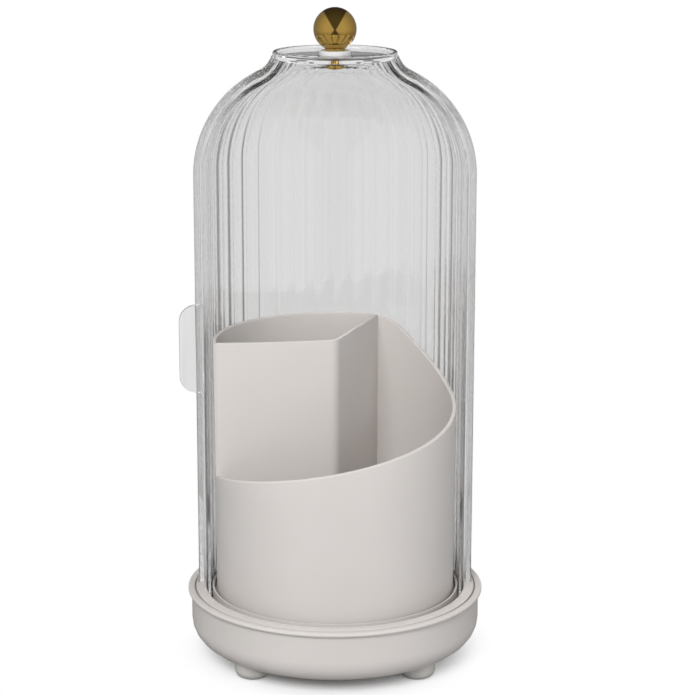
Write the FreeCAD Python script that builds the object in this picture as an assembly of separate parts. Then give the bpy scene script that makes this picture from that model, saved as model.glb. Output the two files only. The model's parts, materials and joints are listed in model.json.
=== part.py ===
import FreeCAD, Part
import math
import os

# Turning toothbrush holder with a fluted clear cover. Millimetres and degrees.
# Z is the turning axis, the table is z = 0 and the doorway faces -Y.

# Cup: a round cup with a spiral rim and a bent divider
cup_foot_radius = 56.3
cup_top_radius = 57.2
cup_wall = 2.0
cup_floor = 2.0
cup_height = 123.2
cup_low_height = 59.8
cup_inner_corner = 3.0
cup_foot_corner = 1.5
cup_foot_ring_width = 4.8
cup_foot_recess = 0.8
spiral_start = 190.4
spiral_sweep = 238.6
spiral_start_slope = 0.65
spiral_marks = ((0.0, 0.0), (0.35, 0.232), (0.70, 0.50), (0.80, 0.61), (0.90, 0.81), (1.0, 1.0))
spiral_stations = 26
cup_trim = 4.0
divider_wall = 1.8
divider_centre = (0.5, -2.3)
divider_bow = 1.3
divider_bow_radius = 250.0
divider_bend_radius = 5.0
divider_back_angle = 69.5

# Turntable that carries the cup
lip_gap = 1.2
lip_wall = 1.0
lip_height = 3.6
lip_chamfer = 0.4
turntable_plate = 2.5
turntable_spigot_height = 0.5
hub_radius = 9.0
hub_depth = 3.5
skirt_to_locator = 2.7
turntable_skirt_depth = 2.4
rib_wall = 1.6
rib_count = 8
turntable_rib_depth = 2.0

# Thrust bearing between tray and turntable
ball_radius = 2.5
ball_count = 8
ball_circle_radius = 43.0
race_width = 9.2
race_thickness = 2.5
race_face_gap = 2.4
race_groove_play = 0.02
race_fit = 0.1
race_lip = 1.5
race_lip_wall = 1.6
cage_width = 8.0
cage_thickness = 1.5
cage_play = 0.1

# Pivot screw and its washer
pivot_radius = 3.0
pivot_head_radius = 4.4
pivot_head_height = 2.4
pivot_thread_radius = 2.0
pivot_thread_length = 10.0
pivot_socket_width = 2.5
pivot_socket_depth = 1.3
pivot_chamfer = 0.5
washer_radius = 7.0
washer_thickness = 0.5

# Tray on its four feet
foot_height = 5.9
foot_radius = 8.4
foot_inset = 14.35
foot_sole_radius = 4.6
foot_recess = 1.5
foot_peg_radius = 2.5
foot_peg_length = 1.9
foot_first_angle = 45.0
tray_depth = 25.1
tray_floor = 2.4
tray_wall = 2.2
tray_corner = 11.6
tray_bead_height = 1.9
tray_bead_overhang = 1.65
tray_bead_thickness = 3.1
tray_bead_chamfer = 0.6
tray_rim_above_bead = 1.3
tray_ledge_width = 2.4
tray_ledge_height = 2.6
tray_boss_radius = 7.0
pedestal_wall = 1.8
tray_rib_height = 5.5

# Ring that carries the cover and guides the door
ring_margin = 0.8
ring_slot = 0.7
ring_thickness = 2.4
ring_above_bead = 1.5
ring_chamfer = 0.3
groove_depth = 7.5
groove_floor = 1.4
groove_wall = 1.5
shell_seat_depth = 1.0
cup_seat_below_ring = 3.5

# Fluted shells of the dome
door_wall = 2.0
dome_wall = 2.9
door_to_dome_gap = 1.3
straight_height = 195.9
shoulder_radius = 53.55
neck_radius = 28.3
neck_hollow_radius = 12.55
neck_end_angle = 20.5
flute_count = 20
dome_flute_depth = 0.8
door_flute_depth = 0.6
dome_rim_height = 2.5
dome_rim_wall = 2.0
dome_rim_chamfer = 0.6
dome_disc = 1.6
disc_sink = 1.5
door_disc = 1.6
door_top_gap = 0.5
door_ear_radius = 7.3
dome_sweep = 180.0
door_sweep = 180.0
door_first_angle = -1.0
door_plain_sweep = 1.5
door_lip_sweep = 3.5
door_edge_inset = 0.3

# Handle of the door
handle_reach = 11.4
handle_height = 42.0
handle_bottom = 126.6
handle_thickness = 2.4
handle_corner = 8.0
handle_angle = 181.5
handle_pad_thickness = 1.0
handle_pad_sweep = 2.9
handle_pad_lead_angle = 0.8

# Knob and its screw
knob_radius = 9.8
knob_flat = 1.3
collar_radius = 4.65
collar_height = 1.1
boss_radius = 7.2
boss_height = 1.8
boss_chamfer = 0.7
knob_screw_radius = 1.9
knob_screw_grip = 6.0
knob_screw_head_radius = 4.06
knob_screw_head_height = 1.7
knob_screw_slot_width = 1.0
knob_screw_slot_depth = 0.8
knob_screw_chamfer = 0.5
bush_wall = 1.3
bush_flange_radius = 5.0
bush_flange = 0.9
door_pivot_play = 0.2

# Clearances between mating pieces
running_fit = 0.06
seat_fit = 0.1
groove_fit = 0.25
lip_to_door = 0.7
turntable_to_ring = 0.6
door_foot_play = 0.3
end_float = 0.1

# How far a cut runs past its target, how deep joined shapes overlap, and when places are one
overrun = 1.0
same_place = 1e-6
full_turn = 360.0

# Radii that follow from the cup outwards
lip_inner_radius = cup_foot_radius + lip_gap
race_inner_radius = ball_circle_radius - race_width / 2
race_outer_radius = ball_circle_radius + race_width / 2
skirt_inner_radius = race_outer_radius + race_fit + race_lip_wall + skirt_to_locator
skirt_radius = skirt_inner_radius + rib_wall
turntable_radius = max(lip_inner_radius + lip_wall, skirt_radius)
door_inner_radius = max(turntable_radius, cup_top_radius) + lip_to_door
door_radius = door_inner_radius + door_wall
groove_outer_radius = door_radius + groove_fit
groove_inner_radius = turntable_radius + turntable_to_ring
dome_inner_radius = door_radius + door_to_dome_gap
dome_radius = dome_inner_radius + dome_wall
ring_radius = dome_radius + ring_margin
tray_mouth_radius = ring_radius + ring_slot
tray_bead_radius = tray_mouth_radius + tray_bead_thickness
tray_body_radius = tray_bead_radius - tray_bead_overhang
foot_circle_radius = tray_body_radius - foot_inset

# Heights that follow from the table upwards
tray_bottom = foot_height
tray_inside = tray_bottom + tray_floor
bead_middle = tray_bottom + tray_depth
tray_top = bead_middle + tray_rim_above_bead
ring_top = bead_middle + ring_above_bead
ring_bottom = ring_top - ring_thickness
groove_bottom = ring_top - groove_depth
cup_seat = ring_top - cup_seat_below_ring
plate_bottom = cup_seat - turntable_plate
hub_bottom = plate_bottom - hub_depth
upper_race_bottom = plate_bottom - race_thickness
lower_race_top = upper_race_bottom - race_face_gap
lower_race_bottom = lower_race_top - race_thickness
ball_height = lower_race_top + race_face_gap / 2
boss_top = hub_bottom - washer_thickness - end_float
shell_bottom = ring_top - shell_seat_depth
door_bottom = groove_bottom + door_foot_play

# Shoulder and neck of the dome, concentric for every shell
shoulder_base = ring_top + straight_height
shoulder_centre = (dome_radius - shoulder_radius, shoulder_base)
hollow_centre_radius = neck_radius + neck_hollow_radius
centre_distance = shoulder_radius + neck_hollow_radius
centre_offset = hollow_centre_radius - shoulder_centre[0]
hollow_centre = (
    hollow_centre_radius,
    shoulder_base + math.sqrt(centre_distance ** 2 - centre_offset ** 2),
)
turn_angle = math.atan2(hollow_centre[1] - shoulder_base, centre_offset)
neck_top = hollow_centre[1] - neck_hollow_radius * math.sin(math.radians(neck_end_angle))
dome_top = neck_top + dome_rim_height
disc_top = dome_top - disc_sink
disc_bottom = disc_top - dome_disc
door_top = disc_bottom - door_top_gap
door_disc_bottom = door_top - door_disc
bush_bottom = door_disc_bottom - door_pivot_play - bush_flange
door_offset = dome_wall + door_to_dome_gap
knob_seat = disc_top + boss_height + collar_height
knob_centre = knob_seat + knob_radius - knob_flat


def point(radius, height, angle=0.0):
    """A point at a radius, height and compass angle about the turning axis."""
    turn = math.radians(angle)
    return FreeCAD.Vector(radius * math.cos(turn), radius * math.sin(turn), height)


def rounded_path(corners, closed):
    """Edges along straight legs whose corners, given as (place, rounding), are rounded."""
    count = len(corners)
    arcs = {}
    ends = []
    for i in range(count):
        here, rounding = corners[i]
        if rounding == 0:
            ends.append((here, here))
            continue
        to_before = (corners[i - 1][0] - here).normalize()
        to_after = (corners[(i + 1) % count][0] - here).normalize()
        half = to_before.getAngle(to_after) / 2
        first = here + to_before * (rounding / math.tan(half))
        last = here + to_after * (rounding / math.tan(half))
        inward = (to_before + to_after).normalize()
        middle = here + inward * (rounding / math.sin(half) - rounding)
        arcs[i] = Part.Arc(first, middle, last).toShape()
        ends.append((first, last))
    edges = []
    for i in range(count):
        if i in arcs:
            edges.append(arcs[i])
        start = ends[i][1]
        end = ends[(i + 1) % count][0]
        if (closed or i < count - 1) and start.distanceToPoint(end) > same_place:
            edges.append(Part.LineSegment(start, end).toShape())
    return edges


def outline(corners):
    """A closed wire in the XZ plane through (radius, height) or (radius, height, rounding)."""
    places = [(point(c[0], c[1]), c[2] if len(c) > 2 else 0) for c in corners]
    return Part.Wire(rounded_path(places, True))


def turned(corners, sweep=full_turn, start=0.0):
    """A solid of revolution about Z from a rounded outline."""
    solid = Part.Face(outline(corners)).revolve(point(0, 0), point(0, 1), sweep)
    solid.rotate(point(0, 0), point(0, 1), start)
    return solid


def disc(radius, bottom, top):
    return Part.makeCylinder(radius, top - bottom, point(0, bottom))


def tube(inner, outer, bottom, top):
    return disc(outer, bottom, top).cut(disc(inner, bottom - overrun, top + overrun))


def spread(shape, count, first=0.0):
    """Copies of a shape, evenly turned about the axis."""
    copies = []
    for i in range(count):
        copy = shape.copy()
        copy.rotate(point(0, 0), point(0, 1), first + full_turn * i / count)
        copies.append(copy)
    return copies


def radial_ribs(inner, outer, bottom, top):
    """Straight ribs that run outwards from the axis."""
    corner = FreeCAD.Vector(inner, -rib_wall / 2, bottom)
    rib = Part.makeBox(outer - inner, rib_wall, top - bottom, corner)
    return spread(rib, rib_count)


def dome_profile(offset, bottom, top):
    """Wall, shoulder and neck of a shell that lies offset inside the dome, as exact curves."""
    shoulder = shoulder_radius - offset
    hollow = neck_hollow_radius + offset
    neck_turn = math.asin((hollow_centre[1] - top) / hollow)
    wall = point(shoulder_centre[0] + shoulder, bottom)
    base = point(shoulder_centre[0] + shoulder, shoulder_base)
    return [
        straight_curve(wall, base),
        arc_curve(shoulder_centre, shoulder, 0.0, turn_angle),
        arc_curve(hollow_centre, -hollow, turn_angle, neck_turn),
    ]


def dome_core(offset, bottom, top, sweep=full_turn, start=0.0):
    """The smooth solid inside a dome profile."""
    wall, shoulder, neck = dome_profile(offset, bottom, top)
    edges = [Part.Arc(arc.value(0), arc.value(0.5), arc.value(1)).toShape()
             for arc in (shoulder, neck)]
    stops = [neck.value(1), point(0, top), point(0, bottom), wall.value(0), wall.value(1)]
    edges += [Part.LineSegment(a, b).toShape() for a, b in zip(stops, stops[1:])]
    wire = Part.Wire(Part.__sortEdges__(edges))
    solid = Part.Face(wire).revolve(point(0, 0), point(0, 1), sweep)
    solid.rotate(point(0, 0), point(0, 1), start)
    return solid


def straight_curve(start, end):
    curve = Part.BSplineCurve()
    curve.buildFromPolesMultsKnots([start, end], [2, 2], [0, 1], False, 1, [1, 1])
    return curve


def bent_curve(start, corner, end):
    """The circular arc that touches both legs of a corner."""
    half = (start - corner).getAngle(end - corner) / 2
    curve = Part.BSplineCurve()
    weights = [1, math.sin(half), 1]
    curve.buildFromPolesMultsKnots([start, corner, end], [3, 3], [0, 1], False, 2, weights)
    return curve


def arc_curve(centre, radius, first, last):
    """An arc in the XZ plane, from one turn about its centre to another, in radians."""
    middle = (first + last) / 2
    reach = radius / math.cos((last - first) / 2)

    def on_ray(distance, turn):
        return point(centre[0] + distance * math.cos(turn), centre[1] + distance * math.sin(turn))

    return bent_curve(on_ray(radius, first), on_ray(reach, middle), on_ray(radius, last))


def flute_curve(valley, left, right):
    """One convex flute in plan: its crest has unit radius and its ends lie in the valleys."""
    half_pitch = math.radians(right - left) / 2
    half_chord = valley * math.sin(half_pitch)
    rise = 1.0 - valley * math.cos(half_pitch)
    turn = 2 * math.atan(rise / half_chord)
    corner = valley * math.cos(half_pitch) + half_chord * math.tan(turn)
    middle = (left + right) / 2
    return bent_curve(point(valley, 0, left), point(corner, 0, middle), point(valley, 0, right))


def swept_face(profile, plan):
    """The face that carries a plan curve of unit radius up a profile curve."""
    poles = [
        [FreeCAD.Vector(q.x * p.x, q.y * p.x, p.z) for q in plan.getPoles()]
        for p in profile.getPoles()
    ]
    weights = [[a * b for b in plan.getWeights()] for a in profile.getWeights()]
    surface = Part.BSplineSurface()
    surface.buildFromPolesMultsKnots(
        poles,
        profile.getMultiplicities(), plan.getMultiplicities(),
        profile.getKnots(), plan.getKnots(),
        False, False, profile.Degree, plan.Degree, weights,
    )
    return surface.toShape()


def flat_face(edges, corners):
    """A flat face closed by straight edges through the given corners."""
    chain = Part.Wire(Part.__sortEdges__(edges))
    first = chain.OrderedVertexes[0].Point
    last = chain.OrderedVertexes[-1].Point
    if last.distanceToPoint(corners[0]) > first.distanceToPoint(corners[0]):
        first, last = last, first
    stops = [last] + corners + [first]
    sides = [Part.LineSegment(a, b).toShape() for a, b in zip(stops, stops[1:])]
    return Part.Face(Part.Wire(Part.__sortEdges__(edges + sides)))


def lies_at(place, angle):
    """Whether a place lies in the half plane that leaves the axis at an angle."""
    return abs(place.dot(point(1, 0, angle + 90))) < same_place < place.dot(point(1, 0, angle))


def fluted_core(offset, depth, bottom, top, first_angle, sweep):
    """A wedge of the dome whose outside is a row of convex flutes that meet in sharp valleys."""
    pitch = sweep / flute_count
    valley = 1.0 - depth / (dome_radius - offset)
    profiles = dome_profile(offset, bottom, top)
    faces = []
    for i in range(flute_count):
        left = first_angle + pitch * i
        plan = flute_curve(valley, left, left + pitch)
        faces += [swept_face(profile, plan) for profile in profiles]
    edges = [edge for face in faces for edge in face.Edges]
    rims = []
    for height in (bottom, top):
        rim = [e for e in edges if all(abs(v.Z - height) < same_place for v in e.Vertexes)]
        rims.append(flat_face(rim, [point(0, height)]))
    flanks = []
    for angle in (first_angle, first_angle + sweep):
        flank = [e for e in edges if all(lies_at(v.Point, angle) for v in e.Vertexes)]
        flanks.append(flat_face(flank, [point(0, top), point(0, bottom)]))
    shell = Part.Shell(faces + rims + flanks)
    shell.sewShape()
    return Part.Solid(shell)


def make_tray():
    """Round bowl with a beaded rim, an inner ledge for the ring and ribs under the bearing."""
    ledge_inner = tray_mouth_radius - tray_ledge_width
    ledge_bottom = ring_bottom - tray_ledge_height
    wall_inner = tray_body_radius - tray_wall
    bead_bottom = tray_top - tray_bead_height
    bowl = turned([
        (0, tray_bottom),
        (tray_body_radius, tray_bottom, tray_corner),
        (tray_body_radius, bead_bottom),
        (tray_bead_radius - tray_bead_chamfer, bead_bottom),
        (tray_bead_radius, bead_bottom + tray_bead_chamfer),
        (tray_bead_radius, tray_top - tray_bead_chamfer),
        (tray_bead_radius - tray_bead_chamfer, tray_top),
        (tray_mouth_radius, tray_top),
        (tray_mouth_radius, ring_bottom),
        (ledge_inner, ring_bottom),
        (ledge_inner, ledge_bottom),
        (wall_inner, ledge_bottom - 2 * tray_ledge_height),
        (wall_inner, tray_inside, tray_corner - tray_wall),
        (0, tray_inside),
    ])
    race_edge = race_outer_radius + race_fit
    outer_wall = race_edge + pedestal_wall
    inner_wall = race_inner_radius + pedestal_wall
    outer_pedestal = turned([
        (outer_wall - 2 * pedestal_wall, tray_inside - overrun),
        (outer_wall, tray_inside - overrun),
        (outer_wall, lower_race_bottom + race_lip),
        (race_edge, lower_race_bottom + race_lip),
        (race_edge, lower_race_bottom),
        (outer_wall - 2 * pedestal_wall, lower_race_bottom),
    ])
    inner_pedestal = tube(race_inner_radius, inner_wall, tray_inside - overrun, lower_race_bottom)
    boss = disc(tray_boss_radius, tray_inside - overrun, boss_top)
    ribs = radial_ribs(tray_boss_radius - overrun, inner_wall - overrun,
                       tray_inside - overrun, tray_inside + tray_rib_height)
    tray = bowl.fuse([outer_pedestal, inner_pedestal, boss] + ribs)
    thread = disc(pivot_thread_radius + running_fit,
                  boss_top - pivot_thread_length - end_float, boss_top + overrun)
    sockets = []
    for x, y in foot_places():
        socket = Part.makeCylinder(foot_radius + seat_fit, foot_recess + overrun,
                                   FreeCAD.Vector(x, y, tray_bottom - overrun))
        peg_hole = Part.makeCylinder(foot_peg_radius + seat_fit, tray_floor + 2 * overrun,
                                     FreeCAD.Vector(x, y, tray_bottom - overrun))
        sockets += [socket, peg_hole]
    return tray.cut([thread] + sockets).removeSplitter()


def foot_places():
    angles = [foot_first_angle + 90 * i for i in range(4)]
    return [(point(foot_circle_radius, 0, a).x, point(foot_circle_radius, 0, a).y) for a in angles]


def make_foot(x, y):
    """Rounded pad with a peg that plugs into the tray."""
    seat = tray_bottom + foot_recess
    rounding = foot_radius - foot_sole_radius
    foot = turned([
        (0, 0),
        (foot_radius, 0, rounding),
        (foot_radius, seat),
        (foot_peg_radius, seat),
        (foot_peg_radius, seat + foot_peg_length),
        (0, seat + foot_peg_length),
    ])
    foot.translate(FreeCAD.Vector(x, y, 0))
    return foot


def make_race(bottom, ball_side):
    """Flat ring with a round groove for the balls on one side."""
    ring = tube(race_inner_radius, race_outer_radius, bottom, bottom + race_thickness)
    groove = Part.makeTorus(ball_circle_radius, ball_radius + race_groove_play,
                            point(0, ball_side))
    return ring.cut(groove)


def make_balls():
    ball = Part.makeSphere(ball_radius, point(ball_circle_radius, ball_height))
    return Part.makeCompound(spread(ball, ball_count))


def make_cage():
    """Ring with one pocket for each ball."""
    bottom = ball_height - cage_thickness / 2
    inner = ball_circle_radius - cage_width / 2
    ring = tube(inner, inner + cage_width, bottom, bottom + cage_thickness)
    pocket = Part.makeCylinder(ball_radius + cage_play, cage_thickness + 2 * overrun,
                               point(ball_circle_radius, bottom - overrun))
    return ring.cut(spread(pocket, ball_count))


def make_turntable():
    """Dish with a thin lip, a hub in a counterbore and ribs underneath."""
    spigot = cup_foot_radius - cup_foot_ring_width - seat_fit
    plate = turned([
        (0, plate_bottom),
        (turntable_radius, plate_bottom),
        (turntable_radius, cup_seat + lip_height),
        (lip_inner_radius + lip_chamfer, cup_seat + lip_height),
        (lip_inner_radius, cup_seat + lip_height - lip_chamfer),
        (lip_inner_radius, cup_seat),
        (spigot, cup_seat),
        (spigot, cup_seat + turntable_spigot_height),
        (0, cup_seat + turntable_spigot_height),
    ])
    skirt = tube(skirt_inner_radius, skirt_radius,
                 plate_bottom - turntable_skirt_depth, plate_bottom)
    race_edge = race_outer_radius + race_fit
    locator = tube(race_edge, race_edge + race_lip_wall, plate_bottom - race_lip, plate_bottom)
    hub = disc(hub_radius, hub_bottom, plate_bottom)
    ribs = radial_ribs(hub_radius - overrun, race_inner_radius - race_fit,
                       plate_bottom - turntable_rib_depth, plate_bottom)
    counterbore = disc(pivot_head_radius + 2 * seat_fit, pivot_seat() - end_float,
                       cup_seat + turntable_spigot_height + overrun)
    bore = disc(pivot_radius + running_fit, hub_bottom - overrun, cup_seat)
    return plate.fuse([skirt, locator, hub] + ribs).cut([counterbore, bore]).removeSplitter()


def pivot_seat():
    """Height of the underside of the pivot screw's head."""
    return cup_seat + turntable_spigot_height - pivot_head_height - 2 * end_float


def make_pivot_screw():
    """Shoulder screw: head, smooth shoulder, thread, and a six-sided socket."""
    seat = pivot_seat()
    screw = turned([
        (0, boss_top - pivot_thread_length),
        (pivot_thread_radius - pivot_chamfer, boss_top - pivot_thread_length),
        (pivot_thread_radius, boss_top - pivot_thread_length + pivot_chamfer),
        (pivot_thread_radius, boss_top),
        (pivot_radius, boss_top),
        (pivot_radius, seat),
        (pivot_head_radius, seat),
        (pivot_head_radius, seat + pivot_head_height - pivot_chamfer),
        (pivot_head_radius - pivot_chamfer, seat + pivot_head_height),
        (0, seat + pivot_head_height),
    ])
    corner = pivot_socket_width / math.sqrt(3)
    corners = [point(corner, seat + pivot_head_height, 60 * i) for i in range(7)]
    socket = Part.Face(Part.makePolygon(corners)).extrude(point(0, -pivot_socket_depth))
    return screw.cut(socket)


def rim_curve():
    """The rim's climb: its parameter is the share of the sweep, its Y the share of the rise."""
    curve = Part.BSplineCurve()
    curve.interpolate(
        Points=[FreeCAD.Vector(share, rise, 0) for share, rise in spiral_marks],
        Parameters=[share for share, rise in spiral_marks],
        InitialTangent=FreeCAD.Vector(1, spiral_start_slope, 0),
        FinalTangent=FreeCAD.Vector(1, 0, 0),
    )
    return curve


def spiral_cutter():
    """What lies above the spiral rim: a lofted helical band and a level one behind it."""
    inner = cup_foot_radius - cup_wall - overrun
    outer = cup_top_radius + overrun
    level = cup_seat + cup_height
    top = level + cup_trim
    climb = rim_curve()
    sections = []
    for i in range(spiral_stations + 1):
        share = i / spiral_stations
        angle = spiral_start + spiral_sweep * share
        low = cup_seat + cup_low_height
        low += (cup_height - cup_low_height) * climb.value(share).y
        corners = [point(inner, low, angle), point(outer, low, angle),
                   point(outer, top, angle), point(inner, top, angle)]
        sections.append(Part.makePolygon(corners + corners[:1]))
    band = Part.makeLoft(sections, True, False)
    level_band = turned([(inner, level), (outer, level), (outer, top), (inner, top)],
                        full_turn - spiral_sweep, spiral_start + spiral_sweep)
    return [band, level_band]


def make_divider():
    """The bent wall between the tall compartment and the low one, bowed on its front leg."""
    centre = FreeCAD.Vector(divider_centre[0], divider_centre[1], 0)
    reach = cup_top_radius
    start = point(reach, 0, spiral_start - math.degrees(divider_wall / 2 / cup_foot_radius))
    along = (centre - start).normalize()
    bowed = (start + centre) / 2 + FreeCAD.Vector(along.y, -along.x, 0) * 2 * divider_bow
    end = centre + point(reach, 0, divider_back_angle)
    half = (start - bowed).getAngle(centre - bowed) / 2
    leg_room = (centre - bowed).Length - divider_bend_radius
    path = Part.Wire(rounded_path([
        (start, 0),
        (bowed, min(divider_bow_radius, leg_room * math.tan(half))),
        (centre, divider_bend_radius),
        (end, 0),
    ], False))
    strip = Part.Face(path.makeOffset2D(divider_wall / 2))
    strip.translate(point(0, cup_seat + cup_floor / 2))
    wall = strip.extrude(point(0, cup_height - cup_floor / 2))
    overlap = cup_wall / 2
    inside = turned([
        (0, cup_seat),
        (cup_foot_radius - overlap, cup_seat),
        (cup_top_radius - overlap, cup_seat + cup_height),
        (0, cup_seat + cup_height),
    ])
    return wall.common(inside)


def make_cup():
    """Tapered round cup with a spiral rim, a foot ring and a bent divider."""
    foot_inner = cup_foot_radius - cup_foot_ring_width
    taper = (cup_top_radius - cup_foot_radius) / cup_height
    top = cup_seat + cup_height + cup_trim / 2
    top_radius = cup_foot_radius + taper * (cup_height + cup_trim / 2)
    shell = turned([
        (0, cup_seat + cup_foot_recess),
        (foot_inner, cup_seat + cup_foot_recess),
        (foot_inner, cup_seat),
        (cup_foot_radius, cup_seat, cup_foot_corner),
        (top_radius, top),
        (top_radius - cup_wall, top),
        (cup_foot_radius - cup_wall, cup_seat + cup_foot_recess + cup_floor, cup_inner_corner),
        (0, cup_seat + cup_foot_recess + cup_floor),
    ])
    return shell.cut(spiral_cutter()).fuse(make_divider()).removeSplitter()


def make_cover_ring():
    """Flat ring that lies on the tray's ledge, with the door's groove and the shell's seat."""
    ring = turned([
        (groove_inner_radius, groove_bottom - groove_floor),
        (groove_outer_radius + groove_wall, groove_bottom - groove_floor),
        (groove_outer_radius + groove_wall, ring_bottom),
        (ring_radius, ring_bottom),
        (ring_radius, ring_top - ring_chamfer),
        (ring_radius - ring_chamfer, ring_top),
        (groove_outer_radius, ring_top),
        (groove_outer_radius, groove_bottom),
        (groove_inner_radius, groove_bottom),
    ])
    play = math.degrees(seat_fit / dome_radius)
    seat = turned([
        (dome_inner_radius - seat_fit, shell_bottom),
        (dome_radius + seat_fit, shell_bottom),
        (dome_radius + seat_fit, ring_top + overrun),
        (dome_inner_radius - seat_fit, ring_top + overrun),
    ], dome_sweep + 2 * play, -play)
    return ring.cut(seat)


def make_dome_shell():
    """Fixed back half of the dome with a full round top disc and its raised rim."""
    flutes = fluted_core(0, dome_flute_depth, shell_bottom, neck_top, 0, dome_sweep)
    top = turned([
        (0, disc_bottom),
        (neck_radius, disc_bottom),
        (neck_radius, dome_top - dome_rim_chamfer),
        (neck_radius - dome_rim_chamfer, dome_top),
        (neck_radius - dome_rim_wall, dome_top),
        (neck_radius - dome_rim_wall, disc_top),
        (0, disc_top),
    ])
    hollow = dome_core(dome_wall, shell_bottom - overrun, disc_bottom)
    hole = disc(knob_screw_radius + running_fit, disc_bottom - overrun, dome_top)
    return flutes.cut(hollow).fuse(top).cut(hole)


def make_door_shell():
    """Half dome that nests inside the fixed one, with plain strips along both edges."""
    first = door_first_angle + door_plain_sweep
    flutes = fluted_core(door_offset, door_flute_depth, door_bottom, door_top, first, door_sweep)
    plain = door_offset + door_edge_inset
    trailing = dome_core(plain, door_bottom, door_top, door_plain_sweep, door_first_angle)
    leading = dome_core(plain, door_bottom, door_top, door_lip_sweep, first + door_sweep)
    hollow = dome_core(door_offset + door_wall, door_bottom - overrun, door_disc_bottom)
    ear = disc(door_ear_radius, door_disc_bottom, door_top)
    hole = disc(bush_radius() + running_fit, door_disc_bottom - overrun, door_top + overrun)
    return flutes.fuse([trailing, leading]).cut(hollow).fuse(ear).cut(hole).removeSplitter()


def make_door_handle():
    """Flat fin with large round corners, on a thin pad that is bonded to the door's edge."""
    pad_inner = dome_radius - door_offset - door_edge_inset
    pad_outer = pad_inner + handle_pad_thickness
    top = handle_bottom + handle_height
    reach = door_radius + handle_reach
    fin = Part.Face(outline([
        (pad_inner + handle_pad_thickness / 2, handle_bottom),
        (reach, handle_bottom, handle_corner),
        (reach, top, handle_corner),
        (pad_inner + handle_pad_thickness / 2, top),
    ])).extrude(FreeCAD.Vector(0, handle_thickness, 0))
    fin.translate(FreeCAD.Vector(0, -handle_thickness / 2, 0))
    fin.rotate(point(0, 0), point(0, 1), handle_angle)
    pad = turned([
        (pad_inner, handle_bottom), (pad_outer, handle_bottom),
        (pad_outer, top), (pad_inner, top),
    ], handle_pad_sweep, handle_angle - handle_pad_lead_angle)
    return fin.fuse(pad).removeSplitter()


def bush_radius():
    return knob_screw_radius + running_fit + bush_wall


def make_pivot_bush():
    """Flanged sleeve that the door turns on."""
    bore = knob_screw_radius + running_fit
    return turned([
        (bore, bush_bottom),
        (bush_flange_radius, bush_bottom),
        (bush_flange_radius, bush_bottom + bush_flange),
        (bush_radius(), bush_bottom + bush_flange),
        (bush_radius(), disc_bottom),
        (bore, disc_bottom),
    ])


def make_boss():
    """Clear spacer between the dome's top and the knob."""
    bore = knob_screw_radius + running_fit
    return turned([
        (bore, disc_top),
        (boss_radius, disc_top),
        (boss_radius, disc_top + boss_height - boss_chamfer),
        (boss_radius - boss_chamfer, disc_top + boss_height),
        (bore, disc_top + boss_height),
    ])


def make_collar():
    """Thin ring under the knob."""
    bore = knob_screw_radius + running_fit
    return tube(bore, collar_radius, disc_top + boss_height, knob_seat)


def make_knob():
    """Ball with a flat underneath and a blind hole for its screw."""
    ball = Part.makeSphere(knob_radius, point(0, knob_centre))
    below = disc(knob_radius, knob_seat - knob_radius, knob_seat)
    hole = disc(knob_screw_radius + running_fit, knob_seat - overrun,
                knob_screw_end() + end_float)
    return ball.cut([below, hole])


def knob_screw_end():
    return knob_seat + knob_screw_grip


def make_knob_screw():
    """Slotted screw that clamps bush, dome, boss and collar to the knob."""
    head_bottom = bush_bottom - knob_screw_head_height
    screw = turned([
        (0, head_bottom),
        (knob_screw_head_radius - knob_screw_chamfer, head_bottom),
        (knob_screw_head_radius, head_bottom + knob_screw_chamfer),
        (knob_screw_head_radius, bush_bottom),
        (knob_screw_radius, bush_bottom),
        (knob_screw_radius, knob_screw_end() - knob_screw_chamfer),
        (knob_screw_radius - knob_screw_chamfer, knob_screw_end()),
        (0, knob_screw_end()),
    ])
    length = 2 * knob_screw_head_radius
    corner = FreeCAD.Vector(-length / 2, -knob_screw_slot_width / 2, head_bottom - overrun)
    slot = Part.makeBox(length, knob_screw_slot_width, knob_screw_slot_depth + overrun, corner)
    return screw.cut(slot)


def make_parts():
    """Every piece by name."""
    parts = {
        "base_tray": make_tray(),
        "lower_race": make_race(lower_race_bottom, ball_height),
        "upper_race": make_race(upper_race_bottom, ball_height),
        "bearing_balls": make_balls(),
        "ball_cage": make_cage(),
        "turntable": make_turntable(),
        "pivot_screw": make_pivot_screw(),
        "pivot_washer": tube(pivot_radius + seat_fit, washer_radius,
                             boss_top, boss_top + washer_thickness),
        "cup": make_cup(),
        "cover_ring": make_cover_ring(),
        "dome_shell": make_dome_shell(),
        "door_shell": make_door_shell(),
        "door_handle": make_door_handle(),
        "pivot_bush": make_pivot_bush(),
        "knob_boss": make_boss(),
        "knob_collar": make_collar(),
        "knob": make_knob(),
        "knob_screw": make_knob_screw(),
    }
    names = ("back_right", "back_left", "front_left", "front_right")
    for name, (x, y) in zip(names, foot_places()):
        parts["foot_" + name] = make_foot(x, y)
    return parts


os.makedirs("parts", exist_ok=True)
for name, shape in make_parts().items():
    box = shape.BoundBox
    print(f"{name}: {len(shape.Solids)} solids, valid {shape.isValid()}, "
          f"{box.XLength:.2f} x {box.YLength:.2f} x {box.ZLength:.2f} mm, "
          f"{shape.Volume / 1000:.2f} cm3")
    shape.exportStep("parts/" + name + ".step")
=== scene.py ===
# %% [markdown]
# # A toothbrush holder with a turning clear dome
# A greige tray on four feet carries a turning cup and, over it, a fluted clear cover.
# The front half of the cover is a door that turns inside the back half.
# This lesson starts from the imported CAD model, keeps the pieces whose shape is right,
# and models the ones that show again, with rounded edges and clean surfaces.

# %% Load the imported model
import json
import math

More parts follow.
